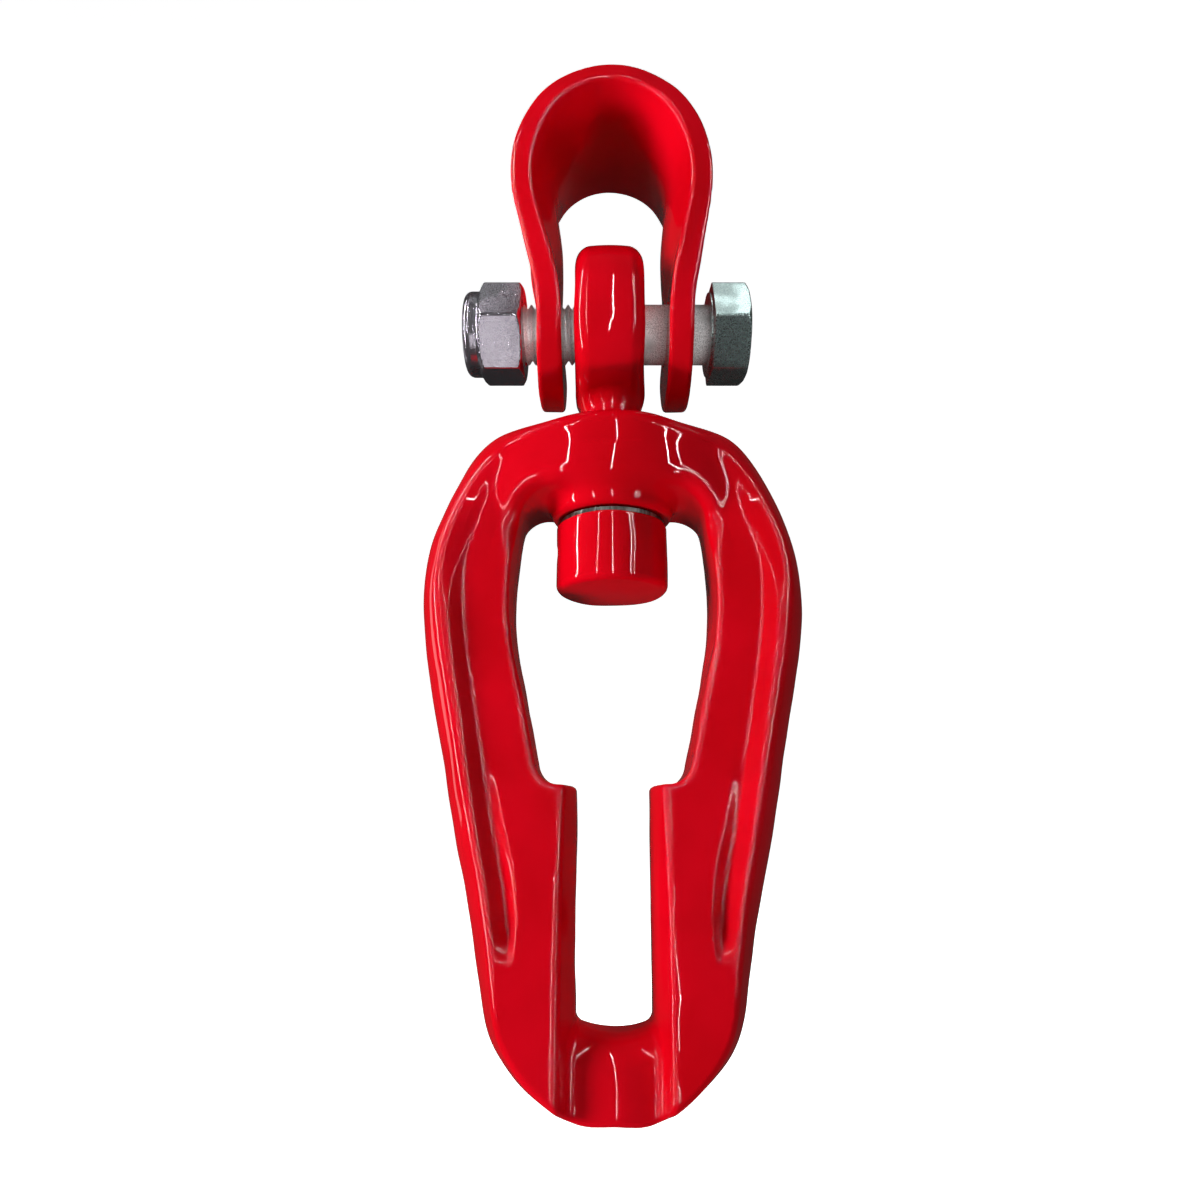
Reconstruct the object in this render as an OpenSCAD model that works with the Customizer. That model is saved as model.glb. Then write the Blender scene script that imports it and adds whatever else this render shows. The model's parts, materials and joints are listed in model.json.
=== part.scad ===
// Swivel keyhole link with a bent-plate bow, held together by a hex bolt and a lock nut.
// Origin: centre of the bow's rounded crown, where the sling or hanging pin sits.
// +Z is up, X runs along the bolt, Y runs through the plate's width.

/* [Bow strap] */
// Width of the bent plate, along Y
strap_w = 52; // [44:1:56]
// Thickness of the bent plate
strap_t = 8; // [6:0.5:9]
// Inside radius of the bow's crown
bow_r = 23; // [21:0.5:24]
// Inside radius of the bow's flanks
flank_r = 47.8; // [44:0.2:52]
// Half of the bow's widest inside width
bow_half_w = 26.5; // [25.5:0.5:27.5]
// How far the flanks lean in towards the bolt, in degrees
flank_lean = 13.5; // [12:0.5:15]
// Inside gap between the two legs
leg_gap = 34; // [32:1:35]
// Height of the bow's crown centre above the bolt axis
bow_rise = 58.7; // [56:0.1:62]
// Diameter of the bolt holes in the legs
strap_hole_d = 21; // [20.6:0.1:22]

/* [Bolt and nut] */
// Nominal diameter of the bolt
bolt_d = 20; // [18:1:20]
// Width across the flats of the bolt's head and of the nut
hex_af = 30; // [28:1:32]
// Height of the bolt's head
head_h = 12.5; // [10:0.5:14]
// Length of the bolt under its head
bolt_len = 80; // [78:1:84]
// Distance from the centre plane to the underside of the head
head_x = 33.5; // [29:0.5:35]
// Distance from the centre plane to the lock nut's inner face
nut_face_x = 29.6; // [29.4:0.1:31]
// Whole height of the lock nut
nut_h = 20; // [18:0.5:22]
// Height of the round collar that holds the nylon ring
collar_h = 5.5; // [4:0.5:7]

/* [Swivel eye] */
// Outside diameter of the eye
eye_d = 57.5; // [54:0.5:60]
// Width of the eye along the bolt
eye_w = 22; // [20:1:26]
// Diameter of the bolt hole in the eye
eye_hole_d = 21.5; // [20.8:0.1:23]
// Diameter of the stem that turns in the link's crown
stem_d = 22; // [20:0.5:22]
// Diameter of the retaining button
button_d = 35.3; // [32:0.1:37]
// Height of the retaining button
button_h = 22.6; // [18:0.2:24]

/* [Keyhole link] */
// Distance from the bolt axis down to the top of the link's crown
crown_drop = 34.7; // [33:0.1:38]
// Height of the link
link_h = 204.5; // [200:0.5:206]
// Thickness of the link's arms, along Y
link_t = 34; // [30:1:38]
// Diameter of the hub around the stem
hub_d = 48; // [46:1:52]
// Clear width of the chain slot at its narrowest
slot_w = 21.5; // [18:0.5:23]
// Width of the slot's flared mouth at each face
slot_mouth_w = 29.6; // [27:0.2:31]

/* [Hidden] */
$fn = 96;
through = 0.5;                       // how far a cut runs past the face it opens

bolt_z = -bow_rise;
leg_x = leg_gap / 2;
ear_r = strap_w / 2;
hole_seat = 0.05;                    // clearance between a fastener and the piece it is screwed into

// The bow's profile is a chain of arcs that run into each other without a corner.
flank_c = [bow_half_w - flank_r, -sqrt(pow(flank_r - bow_r, 2) - pow(flank_r - bow_half_w, 2))];
crown_end = atan2(-flank_c.y, -flank_c.x);
flank_end = [flank_c.x + flank_r * cos(flank_lean), flank_c.y - flank_r * sin(flank_lean)];
toe_r = 70;                          // radius of the bend that turns the flank into the leg
crown_stock = 0.1;
toe_in = leg_x + (toe_r + strap_t) * (1 - cos(flank_lean));
lean_len = (flank_end.x - toe_in) / sin(flank_lean);
toe_z = flank_end.y - lean_len * cos(flank_lean) - (toe_r + strap_t) * sin(flank_lean);

hex_turn = 20;                       // how far the head and the nut are turned about the bolt
hex_chamfer = 2.2;
nut_x = -nut_face_x - nut_h;         // outer end of the nut
insert_t = 2.4;

crown_z = bolt_z - crown_drop;
seat_z = -34.3;                      // hub's underside, below the crown's top
washer_t = 1.3;
run_gap = 0.3;                       // clearance between faces that turn on each other
washer_z = crown_z + seat_z - run_gap;
button_z = washer_z - washer_t;
tail_d = 18;                         // reduced end of the stem inside the button
tail_len = 15;
pin_d = 5;
pin_z = button_z - 9;

// Half outline of the link, below the crown's top: [half width, height].
outline = [[0, 0], [14, 0], [26, -0.8], [35, -3.6], [41.8, -8.4], [47.6, -16.4], [53, -28], [57.6, -43],
           [59, -58], [57.9, -74], [54, -94], [46.6, -128], [39.2, -162], [36, -178], [33, -187],
           [25.5, -196.5], [14, -203], [6, -link_h], [0, -link_h]];
// Half outline of the key opening.
key = [[0, -31.6], [17, -31.6], [25, -34], [29.6, -42], [31, -54], [31.5, -65], [30.6, -76],
       [24.5, -102], [22.4, -110.5], [21.2, -114.5], [18.5, -116.8], [15, -117.3], [0, -117.3]];
// Outline of the shallow flute in one arm.
flute = [[45, -42], [48.5, -56], [48.6, -66], [42.3, -105], [33, -153], [30.5, -163], [27.5, -164],
         [26.5, -155], [32, -112], [36.5, -80], [38, -62], [40, -48]];
flute_depth = 3.5;
slot_top = -116;
floor_z = -183.3;                    // top of the bar that closes the slot
bar_t = 20;

function spline_point(a, b, c, d, t) =
    0.5 * ((2 * b) + (c - a) * t + (2 * a - 5 * b + 4 * c - d) * t * t
           + (3 * b - a - 3 * c + d) * t * t * t);
function spline(p, steps) =
    [for (i = [0 : len(p) - 2], s = [0 : steps - 1])
        spline_point(p[max(i - 1, 0)], p[i], p[i + 1], p[min(i + 2, len(p) - 1)], s / steps)];
function ring(p, steps) =
    [for (i = [0 : len(p) - 1], s = [0 : steps - 1])
        spline_point(p[(i + len(p) - 1) % len(p)], p[i], p[(i + 1) % len(p)], p[(i + 2) % len(p)],
                     s / steps)];
function arc(centre, r, start, end, steps) =
    [for (i = [0 : steps]) let (a = start + (end - start) * i / steps)
        centre + r * [cos(a), sin(a)]];
function mirrored(p) = [for (i = [len(p) - 1 : -1 : 0]) [-p[i].x, p[i].y]];

module upright(t) {
    rotate([90, 0, 0]) linear_extrude(height = t, center = true) children();
}

module along_x(x, z) {
    translate([x, 0, z]) rotate([0, 90, 0]) children();
}

module both_sides() {
    children();
    mirror([1, 0, 0]) children();
}

// Right half of the bow's profile at distance t outside its inner face, from the crown to the foot.
// The inner face leaves a little stock on the crown, which is then bored to its true radius.
function bow_path(t) =
    let (toe_c = [leg_x + strap_t + toe_r, toe_z],
         stock = t == 0 ? crown_stock : 0)
    concat(arc([0, 0], bow_r + t - stock, 90, crown_end + 1, 16),
           arc(flank_c, flank_r + t, crown_end, -flank_lean, 16),
           arc(toe_c, toe_r + strap_t - t, 180 - flank_lean, 180, 8),
           [[leg_x + t, bolt_z - ear_r - (t == 0 ? 1 : 0)]]);

module bow_profile() {
    outer = bow_path(strap_t);
    inner = bow_path(0);
    difference() {
        polygon(concat(mirrored(outer), outer));
        polygon(concat(mirrored(inner), inner));
        intersection() {
            circle(r = bow_r);
            polygon([[0, 0], [bow_rise * cos(crown_end + 1), bow_rise * sin(crown_end + 1)],
                     [0, 2 * bow_rise], [-bow_rise * cos(crown_end + 1), bow_rise * sin(crown_end + 1)]]);
        }
    }
}

module bow_strap() {
    reach = 60;
    color("red") difference() {
        intersection() {
            upright(strap_w) bow_profile();
            union() {
                translate([-reach, -strap_w / 2, bolt_z]) cube([2 * reach, strap_w, 2 * reach]);
                along_x(-reach, bolt_z) cylinder(r = ear_r, h = 2 * reach);
            }
        }
        along_x(-reach, bolt_z) cylinder(d = strap_hole_d, h = 2 * reach);
    }
}

// A hexagonal prism along +Z whose far corners, and near ones if asked, are turned away.
module hex_body(h, both_ends) {
    corner_r = hex_af / 2 / cos(30);
    low_r = both_ends ? corner_r - hex_chamfer : corner_r;
    low_h = both_ends ? hex_chamfer / 2 : 0;
    intersection() {
        rotate([0, 0, hex_turn]) cylinder(r = corner_r, h = h, $fn = 6);
        rotate_extrude() polygon([[0, 0], [low_r, 0], [corner_r + 0.1, low_h],
                                  [corner_r + 0.1, h - hex_chamfer / 2],
                                  [corner_r - hex_chamfer, h], [0, h]]);
    }
}

module clevis_bolt() {
    tip = 1.5;
    color("silver") {
        along_x(head_x, bolt_z) hex_body(head_h, false);
        along_x(head_x - 0.8, bolt_z) cylinder(d = hex_af - 2, h = 0.8);
        along_x(head_x - bolt_len + tip, bolt_z) cylinder(d = bolt_d, h = bolt_len - tip - 0.8);
        along_x(head_x - bolt_len, bolt_z)
            cylinder(d1 = bolt_d - 2 * tip, d2 = bolt_d, h = tip);
    }
}

module lock_nut() {
    hex_h = nut_h - collar_h;
    groove_r = bolt_d / 2 + insert_t;
    color("gainsboro") difference() {
        union() {
            translate([nut_x + nut_h, 0, bolt_z]) rotate([0, -90, 0]) hex_body(hex_h, true);
            along_x(nut_x, bolt_z) rotate_extrude()
                polygon([[0, 0], [11.5, 0], [13.2, 0.6], [14, 2], [14.2, collar_h], [14.2, collar_h + 1],
                         [0, collar_h + 1]]);
        }
        along_x(nut_x - through, bolt_z) cylinder(r = bolt_d / 2 + hole_seat, h = nut_h + 2 * through);
        along_x(nut_x + 1.2, bolt_z) cylinder(r = groove_r, h = collar_h - 1.7);
    }
}

module nut_insert() {
    color("royalblue") difference() {
        along_x(nut_x + 1.2 + hole_seat, bolt_z)
            cylinder(r = bolt_d / 2 + insert_t - hole_seat, h = collar_h - 1.7 - 2 * hole_seat);
        along_x(nut_x, bolt_z) cylinder(r = bolt_d / 2 + hole_seat, h = collar_h);
    }
}

// Section of the eye's rim: a crowned bar with rounded corners, from the axis outwards.
module eye_section() {
    edge_r = 6;
    difference() {
        union() {
            translate([0, -eye_w / 2]) square([eye_d / 2 - edge_r, eye_w]);
            translate([0, -eye_w / 2 + edge_r]) square([eye_d / 2, eye_w - 2 * edge_r]);
            for (side = [-1, 1])
                translate([eye_d / 2 - edge_r, side * (eye_w / 2 - edge_r)]) circle(r = edge_r);
        }
        translate([-eye_d, -eye_w]) square([eye_d, 2 * eye_w]);
    }
}

module swivel_eye() {
    tail_z = button_z - tail_len;
    color("red") difference() {
        union() {
            along_x(0, bolt_z) rotate_extrude() eye_section();
            translate([0, 0, button_z]) cylinder(d = stem_d, h = bolt_z - 16 - button_z);
            translate([0, 0, tail_z]) cylinder(d = tail_d, h = tail_len);
        }
        along_x(-eye_w, bolt_z) cylinder(d = eye_hole_d, h = 2 * eye_w);
        along_x(-eye_w, pin_z) cylinder(r = pin_d / 2 + hole_seat, h = 2 * eye_w);
    }
}

module swivel_button() {
    edge_r = 2.5;
    color("red") difference() {
        translate([0, 0, button_z - button_h]) rotate_extrude() {
            translate([0, edge_r]) square([button_d / 2, button_h - edge_r - 1]);
            square([button_d / 2 - edge_r, button_h]);
            intersection() {
                translate([button_d / 2 - edge_r, edge_r]) circle(r = edge_r);
                square(button_d);
            }
        }
        translate([0, 0, button_z - tail_len - 1])
            cylinder(r = tail_d / 2 + hole_seat, h = tail_len + 1 + through);
        along_x(-button_d, pin_z) cylinder(r = pin_d / 2 + hole_seat, h = 2 * button_d);
    }
}

module button_pin() {
    pin_len = button_d - 2.5;
    color("dimgray") along_x(-pin_len / 2, pin_z) cylinder(d = pin_d, h = pin_len);
}

module thrust_washer() {
    color("dimgray") translate([0, 0, button_z]) difference() {
        cylinder(d = button_d - 2, h = washer_t);
        translate([0, 0, -through])
            cylinder(r = stem_d / 2 + 0.2, h = washer_t + 2 * through);
    }
}

module half_shape(p) {
    polygon(concat(spline(p, 4), [p[len(p) - 1]], mirrored(spline(p, 4))));
}

// One level of the link's outside: thickness t, shrunk by inset all round.
module link_level(t, inset) {
    upright(t) offset(delta = -inset) half_shape(outline);
}

module hub() {
    r = hub_d / 2;
    neck_r = 18;
    rotate_extrude()
        polygon([[0, 0.2], [15, 0.2], [20, -2.5], [r, -9], [r, -24], [20, -30.5], [neck_r, -32.5],
                 [neck_r, seat_z], [0, seat_z]]);
}

module slot_cut() {
    waist = 4;
    face = link_t / 2 + 1;
    h = slot_top - floor_z + bar_t / 2;
    translate([0, 0, floor_z - bar_t / 2]) linear_extrude(height = h)
        polygon([[-slot_w / 2, -waist], [-slot_mouth_w / 2, -face], [slot_mouth_w / 2, -face],
                 [slot_w / 2, -waist], [slot_w / 2, waist], [slot_mouth_w / 2, face],
                 [-slot_mouth_w / 2, face], [-slot_w / 2, waist]]);
}

// The relief in each face below the slot, where the next chain link lies.
module chain_relief() {
    depth = (link_t - bar_t) / 2;
    relief_h = 30;
    for (side = [0, 1]) mirror([0, side, 0])
        translate([-slot_mouth_w / 2, bar_t / 2, floor_z - relief_h])
            cube([slot_mouth_w, depth + 1, relief_h + 1]);
}

module keyhole_link() {
    stem_clearance = 0.25;
    color("red") translate([0, 0, crown_z]) difference() {
        union() {
            difference() {
                hull() {
                    link_level(14, 0);
                    link_level(link_t - 6, 3);
                    link_level(link_t, 7);
                }
                upright(link_t + 20) half_shape(key);
                slot_cut();
                chain_relief();
                for (side = [0, 1]) mirror([0, side, 0]) both_sides()
                    translate([0, link_t / 2 - flute_depth / 2 + through, 0])
                        upright(flute_depth + 2 * through) polygon(ring(flute, 3));
            }
            hub();
            along_x(-slot_mouth_w / 2, floor_z - bar_t / 2) cylinder(d = bar_t, h = slot_mouth_w);
        }
        translate([0, 0, seat_z - through])
            cylinder(r = stem_d / 2 + stem_clearance, h = 2 * through + 1 - seat_z);
    }
}

bow_strap();
clevis_bolt();
lock_nut();
nut_insert();
swivel_eye();
swivel_button();
button_pin();
thrust_washer();
keyhole_link();
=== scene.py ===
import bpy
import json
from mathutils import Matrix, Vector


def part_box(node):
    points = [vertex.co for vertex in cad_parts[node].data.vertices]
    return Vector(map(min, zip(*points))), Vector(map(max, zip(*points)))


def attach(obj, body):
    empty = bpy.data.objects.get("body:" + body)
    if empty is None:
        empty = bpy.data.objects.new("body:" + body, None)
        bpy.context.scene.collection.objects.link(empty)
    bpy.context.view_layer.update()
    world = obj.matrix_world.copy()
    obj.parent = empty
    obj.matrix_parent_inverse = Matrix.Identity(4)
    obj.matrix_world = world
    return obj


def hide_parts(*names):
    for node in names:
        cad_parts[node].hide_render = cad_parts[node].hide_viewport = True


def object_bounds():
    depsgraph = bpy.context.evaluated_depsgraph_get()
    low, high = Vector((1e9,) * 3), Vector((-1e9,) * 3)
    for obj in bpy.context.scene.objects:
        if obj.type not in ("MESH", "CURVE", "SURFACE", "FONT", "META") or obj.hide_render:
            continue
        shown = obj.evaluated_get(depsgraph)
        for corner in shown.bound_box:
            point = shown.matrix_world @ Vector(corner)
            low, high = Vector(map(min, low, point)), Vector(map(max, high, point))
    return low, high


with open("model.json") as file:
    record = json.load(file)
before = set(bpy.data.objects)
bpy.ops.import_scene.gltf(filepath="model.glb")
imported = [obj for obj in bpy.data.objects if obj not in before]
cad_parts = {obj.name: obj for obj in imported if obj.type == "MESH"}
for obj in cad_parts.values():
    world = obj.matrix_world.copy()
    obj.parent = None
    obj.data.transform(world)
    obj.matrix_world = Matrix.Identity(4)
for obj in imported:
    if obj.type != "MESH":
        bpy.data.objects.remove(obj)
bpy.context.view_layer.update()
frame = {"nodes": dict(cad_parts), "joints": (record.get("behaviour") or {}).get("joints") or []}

import json
import math

import bpy
import numpy as np
from mathutils import Euler, Vector

# Lengths are in millimetres in the shapes below, and MM turns them into the frame's metres.
MM = 0.001
scene = bpy.context.scene


# ---------------------------------------------------------------- sizes taken from the frame
def cad(node):
    """Lowest and highest corner of a CAD node, in millimetres."""
    low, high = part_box(node)
    return np.array(low) / MM, np.array(high) / MM


joint_at = {j["name"]: np.array(j["pos_m"]) / MM for j in frame["joints"]}
BOLT_Z = joint_at["bolt_turn"][2]

strap_low, strap_high = cad("bow_strap")
bolt_low, bolt_high = cad("clevis_bolt")
nut_low, nut_high = cad("lock_nut")
insert_low, insert_high = cad("nut_insert")
eye_low, eye_high = cad("swivel_eye")
button_low, button_high = cad("swivel_button")
pin_low, pin_high = cad("button_pin")
link_low, link_high = cad("keyhole_link")

CROWN_Z = link_high[2]
BUTTON_Z = button_high[2]
LINK_H = link_high[2] - link_low[2]
STRAP_HALF = strap_high[1]
STRAP_T = 8.0
BOW_R = strap_high[2] - STRAP_T
EYE_R = eye_high[2] - BOLT_Z
EYE_HALF = eye_high[0]
STEM_R = 11.0
LOOSE = 0.05           # clearance on the radius between pieces that are fixed in each other


# ---------------------------------------------------------------- shape helpers
def rounded_meet(a, b, r):
    """Intersection of two distance fields, its outside corner rounded to radius r."""
    corner = np.hypot(np.maximum(a + r, 0), np.maximum(b + r, 0))
    return np.minimum(-r, np.maximum(a, b)) + corner


def rounded_join(a, b, r):
    """Union of two distance fields, its inside corner filled to radius r."""
    return -rounded_meet(-a, -b, r)


def rounded_cut(a, b, r):
    """Field a with field b taken away, its outside corner rounded to radius r."""
    return rounded_meet(a, -b, r)


def ease(t):
    """Smooth step from 0 to 1."""
    t = np.clip(t, 0, 1)
    return t * t * (3 - 2 * t)


def ramp(t, start, length):
    """Smooth step from 0 at start to 1 after the length, which is negative if it runs downwards."""
    return ease((t - start) / length)


class Curve:
    """Smooth curve through a few points, level at both ends."""

    def __init__(self, points):
        self.t, self.v = np.array(points, float).T
        gap = np.diff(self.t)
        n = len(self.t)
        rows, right = np.zeros((n, n)), np.zeros(n)
        rows[0, 0] = rows[-1, -1] = 1
        for i in range(1, n - 1):
            rows[i, i - 1:i + 2] = [1 / gap[i - 1], 2 / gap[i - 1] + 2 / gap[i], 1 / gap[i]]
            right[i] = 3 * ((self.v[i] - self.v[i - 1]) / gap[i - 1] ** 2
                            + (self.v[i + 1] - self.v[i]) / gap[i] ** 2)
        self.slope = np.linalg.solve(rows, right)

    def at(self, t):
        """Value and slope at t."""
        t = np.clip(t, self.t[0], self.t[-1])
        i = np.clip(np.searchsorted(self.t, t, side="right") - 1, 0, len(self.t) - 2)
        gap = self.t[i + 1] - self.t[i]
        u = (t - self.t[i]) / gap
        a, b, m, n = self.v[i], self.v[i + 1], self.slope[i] * gap, self.slope[i + 1] * gap
        c, d = 3 * (b - a) - 2 * m - n, 2 * (a - b) + m + n
        return a + u * (m + u * (c + u * d)), (m + u * (2 * c + 3 * u * d)) / gap


def forged_wave(seed, size, longest, shortest, count=14):
    """Low unevenness of a forging: a sum of gentle waves in every direction."""
    rng = np.random.default_rng(seed)
    ways = rng.normal(size=(count, 3))
    ways /= np.linalg.norm(ways, axis=1)[:, None]
    lengths = rng.uniform(shortest, longest, count)
    shifts = rng.uniform(0, 2 * math.pi, count)

    def wave(x, y, z):
        total = 0
        for way, length, shift in zip(ways, lengths, shifts):
            along = (way[0] * x + way[1] * y + way[2] * z) * 2 * math.pi / length
            total = total + np.sin(along + shift) * length
        return total * size / (lengths.mean() * math.sqrt(count / 2))
    return wave


def slices(start, count):
    """Index of the block of count cells that begins at start."""
    return tuple(slice(s, s + c) for s, c in zip(start, count))


def net(field, low, high, step):
    """Quad net over the surface where the field is zero: one vertex in each cell it crosses."""
    low = np.array(low, float)
    counts = np.ceil((np.array(high) - low) / step).astype(int) + 1
    grid = np.meshgrid(*[low[i] + step * np.arange(counts[i]) for i in range(3)], indexing="ij")
    value = field(*grid)
    inside = value < 0
    cells = counts - 1
    total, hits = np.zeros((*cells, 3)), np.zeros(cells)
    edges = []
    for axis in range(3):
        one = np.eye(3, dtype=int)[axis]
        a, b = value[slices((0, 0, 0), counts - one)], value[slices(one, counts - one)]
        crossing = (a < 0) != (b < 0)
        share = np.where(crossing, a / np.where(crossing, a - b, 1), 0)
        edges.append(crossing)
        u, v = np.eye(3, dtype=int)[[i for i in range(3) if i != axis]]
        for i in (0, 1):
            for j in (0, 1):
                part = slices(i * u + j * v, cells)
                on = crossing[part]
                hits += on
                total += on[..., None] * (i * u + j * v)
                total[..., axis] += share[part]
    active = hits > 0
    points = total[active] / hits[active][:, None]
    points = low + step * (np.argwhere(active) + points)
    number = np.full(cells, -1)
    number[active] = np.arange(len(points))
    quads = []
    for axis in range(3):
        u, v = np.eye(3, dtype=int)[[i for i in range(3) if i != axis]]
        at = np.argwhere(edges[axis])
        keep = np.all([(at[:, i] > 0) & (at[:, i] < counts[i] - 1) for i in range(3) if i != axis], axis=0)
        at = at[keep]
        corners = [at - u - v, at - v, at, at - u]
        quad = np.stack([number[tuple(c.T)] for c in corners], axis=1)
        flip = inside[tuple(at.T)] == (axis != 1)
        quad[~flip] = quad[~flip][:, ::-1]
        quads.append(quad)
    return points, np.concatenate(quads)


NUDGE = 0.02           # half the distance over which a field's growth is measured
FLATTEST = 0.04        # floor for the square of the growth, so that no point is thrown far
EVENING = 0.6          # share of the way to its neighbours' middle that a point is moved


def steepest(field, points):
    """Direction in which the field grows at each point, by central differences."""
    columns = []
    for axis in range(3):
        shift = NUDGE * np.eye(3)[axis]
        columns.append(field(*(points + shift).T) - field(*(points - shift).T))
    return np.stack(columns, axis=1) / (2 * NUDGE)


def settle(field, points, step, rounds):
    """Moves points onto the surface where the field is zero."""
    for _ in range(rounds):
        way = steepest(field, points)
        length = np.maximum((way ** 2).sum(1), FLATTEST)
        move = -(field(*points.T) / length)[:, None] * way
        size = np.linalg.norm(move, axis=1)[:, None]
        points = points + move * np.minimum(1, 0.5 * step / np.maximum(size, 1e-9))
    return points


def relax(field, points, quads, step):
    """Evens out the quads without leaving the surface."""
    a, b = quads.ravel(), np.roll(quads, -1, axis=1).ravel()
    near = np.bincount(a, minlength=len(points)) + np.bincount(b, minlength=len(points))
    mean = np.stack([np.bincount(a, points[b, i], len(points)) + np.bincount(b, points[a, i], len(points))
                     for i in range(3)], axis=1) / near[:, None]
    way = steepest(field, points)
    way /= np.maximum(np.linalg.norm(way, axis=1), 1e-9)[:, None]
    move = mean - points
    move -= (move * way).sum(1)[:, None] * way
    return settle(field, points + EVENING * move, step, 2)


def piece(name, points, faces, material, normals=None):
    """A Blender mesh from points in millimetres."""
    mesh = bpy.data.meshes.new(name)
    mesh.from_pydata((np.asarray(points) * MM).tolist(), [], [list(f) for f in faces])
    mesh.update()
    mesh.shade_smooth()
    if normals is not None:
        mesh.normals_split_custom_set_from_vertices(normals.tolist())
    thing = bpy.data.objects.new(name, mesh)
    bpy.context.collection.objects.link(thing)
    mesh.materials.append(material)
    return thing


def grown(name, field, low, high, step, material):
    """A mesh of the closed shape where the field is below zero."""
    margin = 2 * step
    points, quads = net(field, np.array(low) - margin, np.array(high) + margin, step)
    points = settle(field, points, step, 3)
    for _ in range(2):
        points = relax(field, points, quads, step)
    normals = steepest(field, points)
    normals /= np.maximum(np.linalg.norm(normals, axis=1), 1e-9)[:, None]
    return piece(name, points, quads.tolist(), material, normals)


# ---------------------------------------------------------------- materials
class Nodes:
    """Short way to write a material's node tree."""

    def __init__(self, name):
        self.material = bpy.data.materials.new(name)
        self.material.use_nodes = True
        self.tree = self.material.node_tree
        self.shader = self.tree.nodes["Principled BSDF"]
        self.place = self.add("ShaderNodeTexCoord").outputs["Object"]

    def add(self, kind, **inputs):
        node = self.tree.nodes.new(kind)
        for key, value in inputs.items():
            self.put(node.inputs[key.replace("_", " ")], value)
        return node

    def put(self, socket, value):
        if isinstance(value, bpy.types.NodeSocket):
            self.tree.links.new(value, socket)
        else:
            socket.default_value = value

    def noise(self, scale, detail=2.0, roughness=0.5, stretch=(1, 1, 1)):
        spread = self.add("ShaderNodeMapping", Vector=self.place, Scale=stretch)
        node = self.add("ShaderNodeTexNoise", Vector=spread.outputs[0], Scale=scale, Detail=detail,
                        Roughness=roughness)
        return node.outputs["Fac"]

    def cells(self, scale):
        node = self.add("ShaderNodeTexVoronoi", Vector=self.place, Scale=scale)
        return node.outputs["Distance"]

    def band(self, value, low, high, out_low=0.0, out_high=1.0):
        """Smooth change from out_low to out_high while the value goes from low to high."""
        node = self.add("ShaderNodeMapRange", Value=value)
        node.interpolation_type = "SMOOTHSTEP"
        for key, number in zip(("From Min", "From Max", "To Min", "To Max"), (low, high, out_low, out_high)):
            node.inputs[key].default_value = number
        return node.outputs[0]

    def math(self, what, a, b):
        node = self.add("ShaderNodeMath")
        node.operation = what
        self.put(node.inputs[0], a)
        self.put(node.inputs[1], b)
        return node.outputs[0]

    def mix(self, share, a, b):
        node = self.add("ShaderNodeMix")
        node.data_type = "RGBA"
        self.put(node.inputs[0], share)
        self.put(node.inputs[6], a)
        self.put(node.inputs[7], b)
        return node.outputs[2]

    def bump(self, height, depth, strength=1.0, under=None):
        node = self.add("ShaderNodeBump", Height=height, Distance=depth, Strength=strength)
        if under is not None:
            self.put(node.inputs["Normal"], under)
        return node.outputs[0]

    def set(self, **inputs):
        for key, value in inputs.items():
            self.put(self.shader.inputs[key.replace("_", " ")], value)


DEEP_RED, BRIGHT_RED = (0.60, 0.0006, 0.006, 1), (0.72, 0.0010, 0.010, 1)
RUBBED_RED = (0.10, 0.004, 0.006, 1)
ZINC_STAIN = (0.10, 0.14, 0.13, 1)
NYLON_GREY, NYLON_WHITE = (0.70, 0.71, 0.66, 1), (0.84, 0.85, 0.81, 1)
STEEL_DARK, STEEL_LIGHT = (0.06, 0.055, 0.052, 1), (0.20, 0.19, 0.18, 1)
OIL = (0.035, 0.022, 0.016, 1)


def red_paint():
    """Thick gloss enamel over a forging: orange peel, slow sags, dust nibs and a few rubbed specks."""
    n = Nodes("red_paint")
    peel = n.noise(520, 1.5)
    sag = n.noise(75, 2.0, 0.4, (1, 1, 0.45))
    patch = n.noise(28, 3.0)
    dust = n.band(n.cells(210), 0.0, 0.07, 1.0, 0.0)
    gate = n.band(n.noise(33, 1.0), 0.56, 0.66)
    nibs = n.math("MULTIPLY", dust, gate)
    speck = n.math("MULTIPLY", n.band(n.cells(95), 0.0, 0.035, 1.0, 0.0),
                   n.band(n.noise(21, 1.0), 0.60, 0.68))
    red = n.mix(n.band(patch, 0.3, 0.7), DEEP_RED, BRIGHT_RED)
    red = n.mix(n.math("MULTIPLY", speck, 0.8), red, RUBBED_RED)
    rough = n.band(n.noise(48, 3.0), 0.25, 0.8, 0.16, 0.34)
    low = n.bump(sag, 0.00025, 0.5)
    mid = n.bump(peel, 0.00002, 0.4, low)
    top = n.bump(nibs, 0.00012, 0.8, mid)
    n.set(Base_Color=red, Roughness=n.math("ADD", rough, n.math("MULTIPLY", nibs, 0.1)), Normal=top)
    n.set(Specular_IOR_Level=0.0, Coat_Weight=0.8, Coat_Roughness=0.02, Coat_IOR=1.5, Coat_Normal=top)
    return n.material


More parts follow.
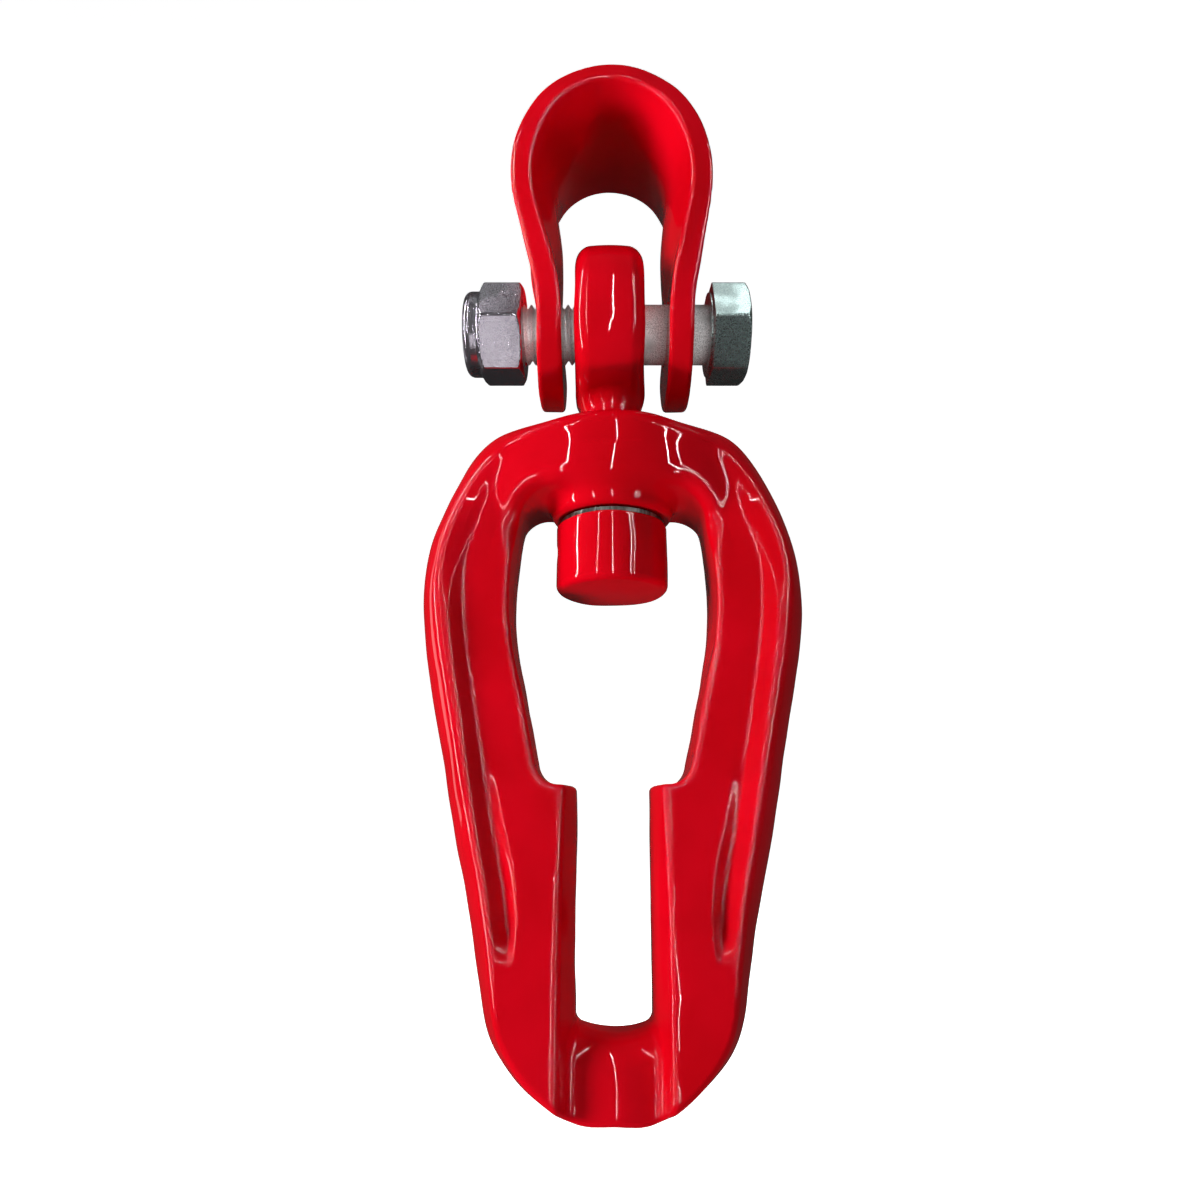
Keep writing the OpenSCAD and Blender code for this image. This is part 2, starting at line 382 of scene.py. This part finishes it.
def zinc(name, dark, light, tint, polish, grain, metal):
    """Zinc plating: a crystal grain of lighter and darker flecks, streaks, and handling stains.

    polish is the roughness between the flecks, grain how fine they are, metal the share of metal."""
    n = Nodes(name)
    fleck = n.noise(2600 * grain, 3.0, 0.7)
    crystal = n.cells(1500 * grain)
    streak = n.noise(260, 3.0, 0.6, (0.3, 1, 1))
    stain = n.band(n.noise(70, 2.0), 0.52, 0.66)
    base = n.mix(n.band(fleck, 0.35, 0.65), dark, light)
    base = n.mix(n.band(crystal, 0.1, 0.6, 0.0, 0.35), base, tint)
    base = n.mix(n.math("MULTIPLY", stain, 0.45), base, ZINC_STAIN)
    rough = n.band(fleck, 0.3, 0.7, polish, polish + 0.16)
    rough = n.math("ADD", rough, n.math("MULTIPLY", stain, 0.12))
    low = n.bump(streak, 0.00006, 0.4)
    top = n.bump(fleck, 0.00003, 0.5, low)
    n.set(Base_Color=base, Roughness=rough, Normal=top, Metallic=metal)
    return n.material


def nylon():
    """Matt off-white nylon."""
    n = Nodes("nylon")
    speck = n.noise(1800, 3.0)
    white = n.mix(n.band(speck, 0.3, 0.7), NYLON_GREY, NYLON_WHITE)
    n.set(Base_Color=white, Roughness=n.band(speck, 0.3, 0.7, 0.42, 0.6), Normal=n.bump(speck, 0.00002))
    n.set(Subsurface_Weight=0.15, Subsurface_Scale=0.001)
    return n.material


def plain_steel():
    """Dark oiled steel with turning lines."""
    n = Nodes("plain_steel")
    turned = n.noise(900, 3.0, 0.6, (1, 1, 0.15))
    oil = n.noise(120, 3.0)
    base = n.mix(n.band(turned, 0.3, 0.7), STEEL_DARK, STEEL_LIGHT)
    base = n.mix(n.band(oil, 0.5, 0.7, 0.0, 0.6), base, OIL)
    n.set(Base_Color=base, Roughness=n.band(oil, 0.3, 0.7, 0.28, 0.5), Metallic=0.9)
    n.set(Normal=n.bump(turned, 0.00004, 0.6))
    return n.material


RED = red_paint()
ZINC_BOLT = zinc("zinc_bolt", dark=(0.12, 0.15, 0.15, 1), light=(0.62, 0.78, 0.76, 1),
                 tint=(0.42, 0.58, 0.57, 1), polish=0.20, grain=1.0, metal=0.85)
# The shank's zinc is much lighter and less metallic than the head's, though both are one plated bolt. Part
# of that is bright plating and part is painted light, which lifts the shade the eye throws on the shank.
ZINC_SHANK_PAINTED_LIGHT = zinc("zinc_shank_painted_light", dark=(0.55, 0.56, 0.56, 1), light=(0.88, 0.89, 0.88, 1),
                  tint=(0.80, 0.80, 0.80, 1), polish=0.20, grain=1.2, metal=0.40)
ZINC_NUT = zinc("zinc_nut", dark=(0.16, 0.14, 0.17, 1), light=(0.80, 0.76, 0.82, 1),
                tint=(0.50, 0.44, 0.54, 1), polish=0.08, grain=1.2, metal=0.93)
NYLON = nylon()
STEEL = plain_steel()


# ---------------------------------------------------------------- bow strap
FLANK_R = 47.8         # inner radius beside the crown
BOW_HALF = 26.5        # half of the widest inside width
LEAN = math.radians(13.5)
LEG_X = 17.0           # inner face of a leg
TOE_R = 70.0           # outer radius of the bend above a leg
STRAP_HOLE_R = 10.5
STRAP_EDGE = 1.3
STRAP_HOLE_EDGE = 0.8
WAIST = 8.0            # how far the middle of the plate's width is drawn in above the legs
WAIST_BACK = 3.0       # how far the waist's middle lies behind the plate's
CROWN_LIFT = 0.7       # how much higher the crown stands than the CAD's


def strap_wall(x, z):
    """Signed distance from the middle of the plate, seen along its width. Outside is positive."""
    side = np.abs(x)
    middle = STRAP_T / 2
    fall = math.sqrt((FLANK_R - BOW_R) ** 2 - (FLANK_R - BOW_HALF) ** 2)
    flank = (BOW_HALF - FLANK_R, -fall)
    flank_end = (flank[0] + FLANK_R * math.cos(LEAN), flank[1] - FLANK_R * math.sin(LEAN))
    toe_in = LEG_X + (TOE_R + STRAP_T) * (1 - math.cos(LEAN))
    lean_len = (flank_end[0] - toe_in) / math.sin(LEAN)
    toe = (LEG_X + STRAP_T + TOE_R, flank_end[1] - lean_len * math.cos(LEAN)
           - (TOE_R + STRAP_T) * math.sin(LEAN))
    crown_end = math.atan2(fall, FLANK_R - BOW_HALF)

    crown = np.hypot(side, z) - BOW_R - middle
    from_flank = np.arctan2(z - flank[1], side - flank[0])
    bend = np.hypot(side - flank[0], z - flank[1]) - FLANK_R - middle
    lean = ((side - flank_end[0]) * math.cos(LEAN) - (z - flank_end[1]) * math.sin(LEAN)) - middle
    below = (z - flank_end[1]) * math.cos(LEAN) + (side - flank_end[0]) * math.sin(LEAN)
    toe_bend = TOE_R + middle - np.hypot(side - toe[0], z - toe[1])
    foot = side - LEG_X - middle
    upper = np.where(np.arctan2(z, side) > crown_end, crown, np.where(from_flank > -LEAN, bend, lean))
    lower = np.where(z > toe[1], toe_bend, foot)
    past_lean = below < -lean_len
    return np.where((z < flank_end[1]) & past_lean, lower, upper)


EDGE_TILT = 0.20       # slope of the plate's cut edges, which stand proud on the inside of the bend
TILT_FROM = -26        # height over the bolt where that slope begins, at the ears' lowest point
LEG_SHIFT = 1.0        # the legs sit a little to one side of the crown
draw_in = Curve([(-30, 0), (2, 0), (8, 0.06), (18, 0.40), (30, 0.8), (42, 1), (54, 0.80), (68, 0.62),
                 (82, 0.58), (100, 0.58)])
strap_wave = forged_wave(11, 0.07, 34, 12)


def strap_field(x, y, z):
    """The bent plate with its two holes. above is the height over the bolt."""
    above = z - BOLT_Z
    z = z - CROWN_LIFT * ramp(above, 40, 35)
    x = x - LEG_SHIFT * ramp(above, 50, -50)
    deep = (y - WAIST_BACK) / (STRAP_HALF + WAIST_BACK)
    drawn = WAIST * draw_in.at(above)[0] * np.clip(1 - deep ** 2, 0, 1)
    wall = strap_wall(x, z)
    tilt = EDGE_TILT * (wall + 2) * ramp(above, TILT_FROM, 60)
    ear = np.hypot(y, np.minimum(above, 0)) - STRAP_HALF + tilt
    plate = np.abs(wall + drawn) - STRAP_T / 2
    body = rounded_meet(plate, ear, STRAP_EDGE) + strap_wave(x, y, z)
    return rounded_cut(body, np.hypot(y, above) - STRAP_HOLE_R, STRAP_HOLE_EDGE)


# ---------------------------------------------------------------- swivel eye and button
EYE_EDGE = 5.0
EYE_SHIFT = 0.8        # the eye is forged a little to one side of its stem
EYE_CROWN = 0.7        # how far the ring's rim stands proud in its middle
EYE_HOLE_R = 10.75
EYE_HOLE_EDGE = 1.6
NECK_IN = 1.6          # how much less the stem's radius is above the link's crown
NECK_FILLET = 3.5
TAIL_R = 9.0
PIN_Z = (pin_low[2] + pin_high[2]) / 2
PIN_HOLE_R = (pin_high[2] - pin_low[2]) / 2 + LOOSE
eye_wave = forged_wave(23, 0.07, 26, 10)


def eye_field(x, y, z):
    """The ring on the bolt, the stem through the link's crown, and the tail in the button."""
    from_bolt = np.hypot(y, z - BOLT_Z)
    aside = x + EYE_SHIFT
    crowned = from_bolt - EYE_R + EYE_CROWN * (aside / EYE_HALF) ** 2
    ring = rounded_meet(np.abs(aside) - EYE_HALF - 0.3, crowned, EYE_EDGE)
    neck = NECK_IN * ramp(z, CROWN_Z - 1, 3)
    stem = rounded_meet(np.hypot(x, y) - STEM_R + neck, np.maximum(BUTTON_Z - z, z - BOLT_Z + 12), 0.5)
    body = rounded_join(ring, stem, NECK_FILLET)
    body = body + eye_wave(x, y, z) * ramp(z, CROWN_Z, 6)
    tail = np.maximum(np.hypot(x, y) - TAIL_R, np.maximum(eye_low[2] - z, z - BUTTON_Z - 1))
    body = rounded_cut(np.minimum(body, tail), from_bolt - EYE_HOLE_R, EYE_HOLE_EDGE)
    return np.maximum(body, PIN_HOLE_R - np.hypot(y, z - PIN_Z))


BUTTON_DOME = 1.0
BUTTON_EDGE = 2.2
button_wave = forged_wave(31, 0.07, 24, 9)


def button_field(x, y, z):
    """The round button, slightly domed below, with the bores for the tail and the pin."""
    r = np.hypot(x, y)
    domed = button_low[2] + BUTTON_DOME * (r / button_high[0]) ** 2 - z
    body = rounded_meet(r - button_high[0], domed, BUTTON_EDGE)
    body = rounded_meet(body, z - BUTTON_Z, 1.0) + button_wave(x, y, z)
    bore = np.maximum(r - TAIL_R - LOOSE, eye_low[2] - 1 - z)
    hole = np.hypot(y, z - PIN_Z) - PIN_HOLE_R
    return rounded_cut(np.maximum(body, -bore), hole, 0.5)


# ---------------------------------------------------------------- keyhole link
# Heights of the link count from its crown's top.
SLOT_HALF = 10.75      # at the slot's narrowest
SLOT_EDGE = 1.5
SLOT_CORNER = 1.8      # inside corner between the slot's side and its bar
MOUTH_HALF = 14.8
FACE = 17.0            # half thickness at the rim and the cheeks
FACE_TOP = 12.6        # half thickness of the rim at the crown
FLOOR = 13.5           # half thickness at the bottom of the flutes
FLUTE_FOOT = 11.6      # how far in from the outline a flute's slope ends, at its lower end
FLUTE_GROWTH = 2.6     # how much further in it ends at the upper end
RIM = 5.5              # width of the rim's flat
HUB_R = 24.0
HUB_FOOT_R = 19.5      # round foot of the hub, which stands down into the opening
SEAT = 34.3            # hub's underside, below the crown
SEAT_R = 18.3          # room below the seat for the washer and the button
BLEND = 1.6            # how softly the crown's barrel runs into the arms
BAR_TOP = -183.3
BAR_HALF = 9.9         # half thickness of the bar beside its middle
BAR_BULGE = 1.5        # how much its middle adds to that
BAR_EDGE = 8.5
LEDGE_Z = -117.3       # step between the wide opening and the slot
KEY_TOP = -28.0        # the wide opening's ceiling
KEY_TOP_CORNER = 8.0
LEDGE_CORNER = 6.0
KEY_FLARE = 0.055      # slope of the wide opening's walls towards the faces
OUT_CENTRE = -88.0     # height of the point from which the outline's radius is measured

# Right half of the outline, from the crown's top to the chin: (half width, height).
outline = [(0, -1.2), (9, -1.5), (16, -2.5), (22, -3.2), (29, -3.5), (35, -4.6), (41.8, -9),
           (47.6, -17.2), (53, -29), (57.4, -43.5), (59, -58), (58.1, -72), (54.1, -94), (49.5, -116),
           (44.2, -140), (40.6, -156), (37, -175), (34.6, -184), (30.2, -191), (23.6, -197),
           (15.8, -201.8), (9, -LINK_H), (0, -LINK_H)]
reach = Curve([(math.atan2(x, z - OUT_CENTRE), math.hypot(x, z - OUT_CENTRE)) for x, z in outline])
# Half width of the wide opening: (height, half width).
key_side = Curve([(-125, 20.8), (-117, 21.3), (-112, 22), (-105, 23.5), (-98, 24.9), (-84, 28), (-69, 30.5),
                  (-58, 30.8), (-48, 30.2), (-40, 29.2), (-34, 28.2), (-25, 27)])
link_wave = forged_wave(47, 0.10, 36, 12)


def link_outside(x, z):
    """Distance outside the link's outline. Inside it is negative."""
    r, turn = np.hypot(x, z - OUT_CENTRE), np.arctan2(np.abs(x), z - OUT_CENTRE)
    value, slope = reach.at(turn)
    return (r - value) / np.sqrt(1 + (slope / value) ** 2)


def key_opening(x, y, z):
    """The wide upper opening, down to the ledge above the slot."""
    half, slope = key_side.at(z)
    flare = KEY_FLARE * np.maximum(np.abs(y) - 4, 0)
    sides = (np.abs(x) - half - flare) / np.sqrt(1 + slope ** 2)
    shape = rounded_meet(sides, z - KEY_TOP, KEY_TOP_CORNER)
    return rounded_meet(shape, LEDGE_Z - z, LEDGE_CORNER)


def slope_down(t, soft):
    """1 before 0, 0 after 1, a straight slope between them with softened corners."""
    t = 1 - 0.5 * (t + np.sqrt(t * t + soft * soft))
    return 0.5 * (t + np.sqrt(t * t + soft * soft))


def link_thickness(x, z, inward):
    """Half thickness of the link: a barrel at the crown, and arms with a ridged rim and a sunk floor."""
    # From the outline inwards: the rim's flat, a slope down to the flute's edge, the flute's wall.
    ridge = FACE_TOP + (FACE - FACE_TOP) * ramp(z, -10, -44)
    crest = FLOOR + (FACE - FLOOR) * ramp(z, -38, -34)
    foot = FLUTE_FOOT + FLUTE_GROWTH * np.clip((z + 153) / 89, 0, 1)
    top = foot - 0.5 - 3.6 * ramp(z, -40, -28)
    outer = crest + (ridge - crest) * slope_down((inward - RIM) / (top - RIM), 0.08)
    wall = 1 - slope_down((inward - top) / (foot - top), 0.10)
    # The floor rises to the cheek's face low down, and the flute ends above the bar.
    rise = ramp(z, -100, -58) * ramp(inward, foot, 4)
    shut = ramp(z, -156, -9)
    sunk = (1 - rise) * (1 - shut)
    hollow = 1.2 * (1 - ramp(z, -30, -30)) * np.clip((inward - 11) / 10, 0, 1)
    arm = outer - (outer - FLOOR) * wall * sunk - hollow
    barrel = HUB_R - x ** 2 / 122 - 2.5 * ramp(z, -32, 30) - 14 * ramp(z, -24, -44)
    return 0.5 * (arm + barrel + np.sqrt((arm - barrel) ** 2 + BLEND ** 2)) - 0.12 * BLEND


def link_field(x, y, z):
    """The forged link: outline and thickness, less the keyhole, the slot and the stem's bore."""
    z = z - CROWN_Z
    side, depth = np.abs(x), np.abs(y)
    outside = link_outside(x, z)
    thick = link_thickness(x, z, -outside)
    draft = 2.0 + 4.5 * ramp(side, 12, 30)
    edge_r = 1.7 + 4.3 * ramp(z, -26, 22)
    body = rounded_meet(outside + draft * np.clip(depth / thick, 0, 1.3) ** 2, depth - thick, edge_r)
    body = rounded_cut(body, key_opening(x, y, z), 1.6 + 3.9 * ramp(z, -52, 16))

    hub = rounded_meet(np.hypot(x, y) - HUB_FOOT_R, -SEAT - z, 2.5)
    hub = np.maximum(hub, z + 20)
    body = rounded_join(body, hub, 5.0)

    flare = (MOUTH_HALF - SLOT_HALF) * ramp(depth, 2.5, 19) * 1.18
    gap = side - SLOT_HALF - flare
    bar_half = BAR_HALF + BAR_BULGE * np.cos(np.clip(x / 11.5, -1, 1) * math.pi / 2) ** 2
    bar_top = BAR_TOP + 0.022 * x ** 2
    bar = rounded_meet(depth - bar_half - 0.03 * (BAR_TOP - z), z - bar_top, BAR_EDGE)
    slot = np.maximum(gap, z + 110)
    slot = rounded_meet(slot, -bar, SLOT_CORNER)
    body = rounded_cut(body, slot, SLOT_EDGE) + link_wave(x, y, z)

    bore = np.maximum(np.hypot(x, y) - STEM_R - 0.25, -SEAT - 10 - z)
    under_seat = np.maximum(np.hypot(x, y) - SEAT_R, np.abs(z + SEAT + 10) - 10)
    return np.maximum(rounded_cut(body, bore, 0.8), -under_seat)


# ---------------------------------------------------------------- bolt and nut
HEX_AF = 30.0
HEX_CORNER = HEX_AF / math.sqrt(3)
HEX_TURN = math.radians(20)
HEX_BOX = 17.4         # half size of the box that a turned hexagon fits into
CHAMFER = 2.2
CONE = (0.5, 0.87)     # a chamfer faces this way: outwards, along the bolt
PITCH = 2.5
THREAD_LEN = 46.0
THREAD_DEPTH = 1.45
BOLT_R = 10.0
HEAD_X = 33.5          # underside of the head
DISH = 0.35            # depth of the shallow hollow in the head's end
COLLAR_LEN = 5.5
COLLAR_R = 14.2
COLLAR_EDGE = 2.6


def hex_field(y, z):
    """Distance outside a hexagon about the bolt's axis, its corners slightly rounded."""
    total = None
    for k in range(3):
        turn = HEX_TURN + math.radians(30 + 60 * k)
        flat = np.abs(y * math.sin(turn) + (z - BOLT_Z) * math.cos(turn)) - HEX_AF / 2
        total = flat if total is None else rounded_meet(total, flat, 0.5)
    return total


def head_field(x, y, z):
    """The bolt's head, with a chamfer, a shallow dish and a washer face."""
    r = np.hypot(y, z - BOLT_Z)
    body = rounded_meet(hex_field(y, z), np.abs(x - (HEAD_X + bolt_high[0]) / 2)
                        - (bolt_high[0] - HEAD_X) / 2, 0.35)
    far = (r - HEX_CORNER + CHAMFER) * CONE[0] + (x - bolt_high[0]) * CONE[1]
    face = np.maximum(r - HEX_AF / 2 + 1, np.abs(x - HEAD_X + 0.3) - 0.5)
    dish = (x - bolt_high[0]) + DISH * ramp(r, 11, -3)
    body = rounded_meet(rounded_meet(body, far, 0.3), dish, 0.2)
    return np.minimum(body, face)


def nut_field(x, y, z):
    """The lock nut: a hexagon chamfered at both ends, a round collar, and the insert's groove."""
    r = np.hypot(y, z - BOLT_Z)
    inner, outer = nut_high[0], nut_low[0]
    hexagon = rounded_meet(hex_field(y, z), np.maximum(x - inner, outer + COLLAR_LEN - x), 0.4)
    cone_in = (r - HEX_CORNER + CHAMFER) * CONE[0] + (x - inner) * CONE[1]
    cone_out = (r - HEX_CORNER + CHAMFER) * CONE[0] + (outer + COLLAR_LEN - x) * CONE[1]
    hexagon = rounded_meet(rounded_meet(hexagon, cone_in, 0.3), cone_out, 0.3)
    ring = rounded_meet(r - COLLAR_R, outer - x, COLLAR_EDGE)
    ring = np.maximum(ring, x - outer - COLLAR_LEN - 2)
    body = rounded_join(hexagon, ring, 0.8)
    body = rounded_cut(body, r - BOLT_R - LOOSE, 0.6)
    groove = np.maximum(r - BOLT_R - 2.35, np.abs(x - (insert_low[0] + insert_high[0]) / 2)
                        - (insert_high[0] - insert_low[0]) / 2 - LOOSE)
    return np.maximum(body, -groove)


def lathe(name, profile, segments, material, twist=None):
    """Turns a profile of (along x, radius) about the bolt's axis. Its ends are closed."""
    points, faces = [], []
    for x, r in profile:
        for k in range(segments):
            turn = 2 * math.pi * k / segments
            radius = twist(x, turn, r) if twist else r
            points.append((x, radius * math.sin(turn), BOLT_Z + radius * math.cos(turn)))
    for i in range(len(profile) - 1):
        for k in range(segments):
            a, b = i * segments + k, i * segments + (k + 1) % segments
            faces.append((a, a + segments, b + segments, b))
    last = (len(profile) - 1) * segments
    faces.append(tuple(range(segments)))
    faces.append(tuple(range(last + segments - 1, last - 1, -1)))
    return piece(name, points, faces, material)


def thread(x, turn, r):
    """Radius of the threaded bolt: flanks at about 60 degrees, with a narrow crest and root."""
    if r < BOLT_R - 0.01 or x > bolt_low[0] + THREAD_LEN:
        return r
    phase = (x / PITCH + turn / (2 * math.pi)) % 1
    depth = THREAD_DEPTH * min(1.0, max(0.0, 1.15 * (1 - abs(2 * phase - 1) * 1.15)))
    fade = min(1.0, (bolt_low[0] + THREAD_LEN - x) / PITCH)
    return r - depth * fade


# ---------------------------------------------------------------- the pieces
def size_step(fine):
    return fine


strap = grown("bow_strap_painted", strap_field, strap_low, strap_high, size_step(0.9), RED)
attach(strap, "bow")
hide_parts("bow_strap")

link = grown("keyhole_link_forged", link_field, link_low, link_high, size_step(0.85), RED)
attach(link, "link")
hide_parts("keyhole_link")

eye = grown("swivel_eye_forged", eye_field, eye_low, eye_high, size_step(0.8), RED)
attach(eye, "swivel")
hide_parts("swivel_eye")

button = grown("swivel_button_painted", button_field, button_low, button_high, size_step(0.7), RED)
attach(button, "swivel")
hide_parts("swivel_button")

head = grown("bolt_head", head_field, (HEAD_X - 0.8, -HEX_BOX, BOLT_Z - HEX_BOX),
             (bolt_high[0], HEX_BOX, BOLT_Z + HEX_BOX), size_step(0.5), ZINC_BOLT)

# From the chamfered tip, a ring for each step of the thread, then plain up to the head.
tip = bolt_low[0]
steps = int(THREAD_LEN / PITCH * 12)
profile = [(tip, 7.6), (tip + 0.1, 8.4), (tip + 1.6, BOLT_R - 0.02)]
profile += [(tip + 1.7 + (THREAD_LEN - 1.7) * i / steps, BOLT_R) for i in range(steps + 1)]
profile += [(tip + THREAD_LEN + 0.5, BOLT_R), (HEAD_X + 0.5, BOLT_R)]
shank = lathe("bolt_shank", profile, 72, ZINC_SHANK_PAINTED_LIGHT, thread)
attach(head, "bolt")
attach(shank, "bolt")
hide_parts("clevis_bolt")
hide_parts("clevis_bolt")

nut = grown("lock_nut_plated", nut_field, (nut_low[0], -HEX_BOX, BOLT_Z - HEX_BOX),
            (nut_high[0], HEX_BOX, BOLT_Z + HEX_BOX), size_step(0.5), ZINC_NUT)
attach(nut, "bolt")
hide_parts("lock_nut")

for node, material in (("nut_insert", NYLON), ("button_pin", STEEL), ("thrust_washer", STEEL)):
    mesh = frame["nodes"][node].data
    mesh.materials.clear()
    mesh.materials.append(material)


# ---------------------------------------------------------------- floor, light and camera
def aim(thing, place, target):
    """Puts a light at a place and turns it to its target."""
    thing.location = Vector(place)
    thing.rotation_euler = (Vector(target) - Vector(place)).to_track_quat("-Z", "Y").to_euler()


def softbox(name, place, target, width, height, power):
    """A white area light that the camera can't see. Metres and watts."""
    light = bpy.data.lights.new(name, "AREA")
    light.shape = "RECTANGLE"
    light.size, light.size_y = width, height
    light.energy = power
    thing = bpy.data.objects.new(name, light)
    bpy.context.collection.objects.link(thing)
    aim(thing, place, target)
    thing.visible_camera = False
    return thing


def backdrop():
    """A round pale floor below the hanging object, curving up into a wall all round it.

    flat, bend, wall and drop are lengths in millimetres, and count is the number of sectors."""
    n = Nodes("pale_floor")
    grain = n.noise(9, 3.0)
    pale = n.mix(n.band(grain, 0.3, 0.7), (0.86, 0.86, 0.86, 1), (0.90, 0.90, 0.90, 1))
    n.set(Base_Color=pale, Roughness=0.9, Emission_Color=(1, 1, 1, 1), Emission_Strength=0.95)
    flat, bend, wall, count, drop = 900, 1500, 2200, 96, 110
    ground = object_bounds()[0].z / MM - drop
    rings = [(flat * k / 4, ground) for k in range(1, 5)]
    rings += [(flat + bend * math.sin(a), ground + bend * (1 - math.cos(a)))
              for a in (math.radians(5 * k) for k in range(1, 19))]
    rings += [(flat + bend, ground + bend + wall)]
    points = [(r * math.cos(2 * math.pi * k / count), r * math.sin(2 * math.pi * k / count), z)
              for r, z in rings for k in range(count)]
    faces = [tuple(range(count))]
    for i in range(len(rings) - 1):
        for k in range(count):
            a, b = i * count + k, i * count + (k + 1) % count
            faces.append((b, a, a + count, b + count))
    thing = piece("floor", points, faces, n.material)
    thing.visible_diffuse = thing.visible_glossy = thing.visible_shadow = False


# Each light: name, place in metres, width, height, watts.
BROAD_LIGHTS = (
    ("key", (-0.85, -0.44, 0.02), 0.40, 0.50, 11.5),
    ("front", (-0.10, -1.05, 0.12), 0.40, 0.40, 1.2),
    ("low", (-0.08, -0.19, -1.15), 0.12, 0.12, 5.0),
    ("fill", (0.85, -0.60, 0.00), 0.60, 0.60, 1.4),
    ("top", (0.45, -0.30, 0.90), 0.50, 0.50, 3.0),
    ("back", (0.30, 1.10, 0.40), 0.70, 0.70, 7.0))
STRIP_LIGHTS = (
    ("strip_side", (-0.99, -0.22, 0.15), 0.022, 1.60, 8.0),
    ("strip_left", (-0.52, -0.86, 0.15), 0.006, 1.60, 3.6),
    ("strip_middle", (0.02, -1.05, 0.15), 0.005, 1.60, 3.0),
    ("strip_right", (0.66, -0.80, 0.15), 0.007, 1.60, 4.0),
    ("strip_far_right", (0.76, -0.72, 0.15), 0.005, 1.60, 3.0),
    ("back_left", (-0.90, 0.55, 0.10), 0.10, 1.00, 0.4))
# These reach one piece alone, which comes first.
METAL_LIGHTS = (
    (head, "head_top", (0.22, -0.34, 1.00), 0.45, 0.45, 2.10),
    (nut, "nut_low", (-0.17, -0.70, -0.86), 0.05, 0.70, 0.36),
    (nut, "nut_top", (-0.30, -0.36, 1.00), 0.06, 0.70, 0.30),
    (shank, "shank_front", (0.20, -0.75, -0.55), 0.80, 0.80, 7.00))

backdrop()
object_middle = (0, 0, (link_low[2] + strap_high[2]) / 2 * MM)
bolt_middle = (0, 0, BOLT_Z * MM)
# Broad lights give the paint its tone without a mirror image of their own.
for name, place, width, height, power in BROAD_LIGHTS:
    softbox(name, place, object_middle, width, height, power).visible_glossy = False
# Narrow ones only draw the thin lines on gloss.
for name, place, width, height, power in STRIP_LIGHTS:
    softbox(name, place, object_middle, width, height, power).visible_diffuse = False
# Bare metal gets panels of its own, which the paint doesn't mirror.
for thing, name, place, width, height, power in METAL_LIGHTS:
    light = softbox(name, place, bolt_middle, width, height, power)
    light.visible_diffuse = thing == shank
    lit = bpy.data.collections.new(name)
    lit.objects.link(thing)
    light.light_linking.receiver_collection = lit

world = bpy.data.worlds.new("studio")
scene.world = world
world.use_nodes = True
background = world.node_tree.nodes["Background"]
background.inputs["Color"].default_value = (1, 1, 1, 1)
background.inputs["Strength"].default_value = 0.035

CAMERA = (-3.9, -256, BOLT_Z - 163)
LOOK_UP = 15           # degrees above level

lens = bpy.data.cameras.new("camera")
lens.sensor_width = 36
lens.lens = 25.2
lens.clip_start = 0.01
camera = bpy.data.objects.new("camera", lens)
bpy.context.collection.objects.link(camera)
camera.location = Vector(CAMERA) * MM
camera.rotation_euler = Euler((math.radians(90 + LOOK_UP), 0, 0))
scene.camera = camera
scene.view_settings.view_transform = "Standard"
